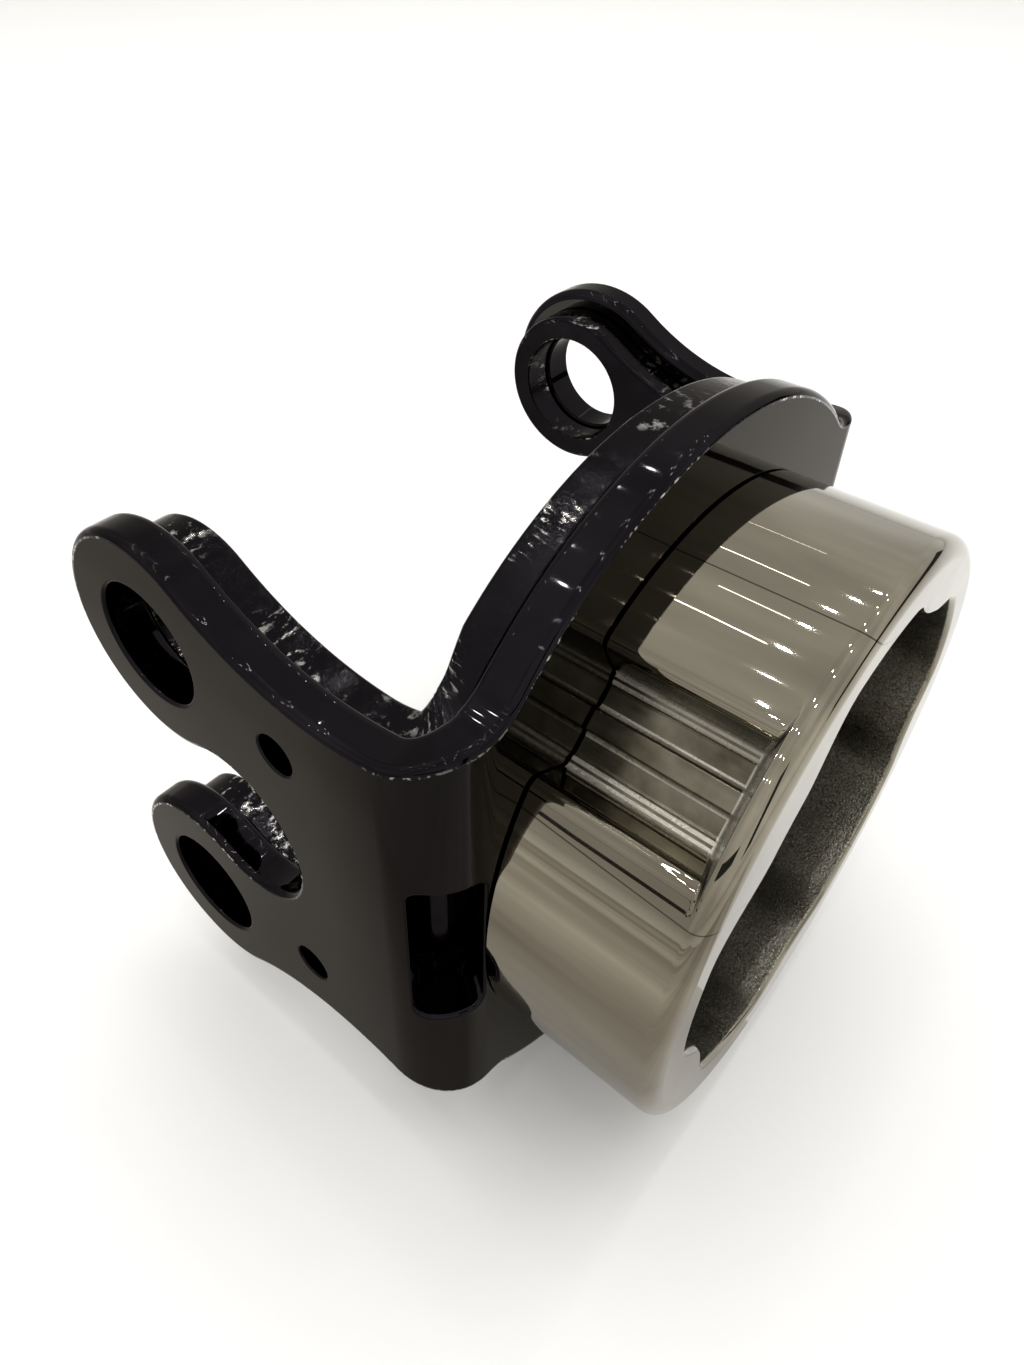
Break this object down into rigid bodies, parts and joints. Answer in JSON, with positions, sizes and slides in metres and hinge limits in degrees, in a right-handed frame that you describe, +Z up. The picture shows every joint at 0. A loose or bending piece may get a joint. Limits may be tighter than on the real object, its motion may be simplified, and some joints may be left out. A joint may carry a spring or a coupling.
{
  "type": "swivel hoist ring",
  "caption": "Clevis yoke with four bored lugs, a stepped inner liner and a recessed, polished collar that swivels on a hidden ball thrust bearing.",
  "frame": {"origin": "on the floor plane under the middle of the bounding box, with the swivel axis level at the flange's radius above it", "axes": "+X along the swivel axis from the yoke towards the collar's open end, +Y across the two arms, +Z up through the lugs of one arm"},
  "size_m": [0.1014, 0.114, 0.1216],
  "materials": {
    "black_plate": "mirror black plating",
    "black_liner": "black plating, lightly scuffed",
    "bright_chrome": "mirror",
    "machined_steel": "turned",
    "bearing_steel": "ground",
    "screw_steel": "black oxide",
    "bronze": "machined bronze",
    "cage_brass": "machined",
    "seal_rubber": "matt"
  },
  "bodies": {
    "yoke": {"yoke_body": "black_plate", "yoke_liner": "black_liner", "liner_screw_1": "screw_steel", "liner_screw_2": "screw_steel", "liner_screw_3": "screw_steel", "liner_screw_4": "screw_steel", "radial_bush": "bronze", "thrust_race_fixed": "bearing_steel"},
    "swivel": {"swivel_collar": "bright_chrome", "swivel_hub": "machined_steel", "hub_screw_1": "screw_steel", "hub_screw_2": "screw_steel", "hub_screw_3": "screw_steel", "hub_screw_4": "screw_steel", "hub_screw_5": "screw_steel", "hub_screw_6": "screw_steel", "dust_seal": "seal_rubber", "thrust_race_swivel": "bearing_steel", "disc_spring": "machined_steel", "retaining_ring": "screw_steel"},
    "ball_set": {"ball_cage": "cage_brass", "bearing_ball_01": "bearing_steel", "bearing_ball_02": "bearing_steel", "bearing_ball_03": "bearing_steel", "bearing_ball_04": "bearing_steel", "bearing_ball_05": "bearing_steel", "bearing_ball_06": "bearing_steel", "bearing_ball_07": "bearing_steel", "bearing_ball_08": "bearing_steel", "bearing_ball_09": "bearing_steel", "bearing_ball_10": "bearing_steel", "bearing_ball_11": "bearing_steel", "bearing_ball_12": "bearing_steel", "bearing_ball_13": "bearing_steel", "bearing_ball_14": "bearing_steel", "bearing_ball_15": "bearing_steel", "bearing_ball_16": "bearing_steel"}
  },
  "joints": [
    {"name": "collar_swivel", "type": "hinge", "parent": "yoke", "child": "swivel", "pos_m": [0.02305, 0, 0.0608], "axis": [1, 0, 0], "continuous": true},
    {"name": "ball_set_orbit", "type": "hinge", "parent": "yoke", "child": "ball_set", "pos_m": [0.00545, 0, 0.0608], "axis": [1, 0, 0], "continuous": true}
  ],
  "couplings": [
    {"joint": "ball_set_orbit", "follows": "collar_swivel", "ratio": 0.5}
  ]
}
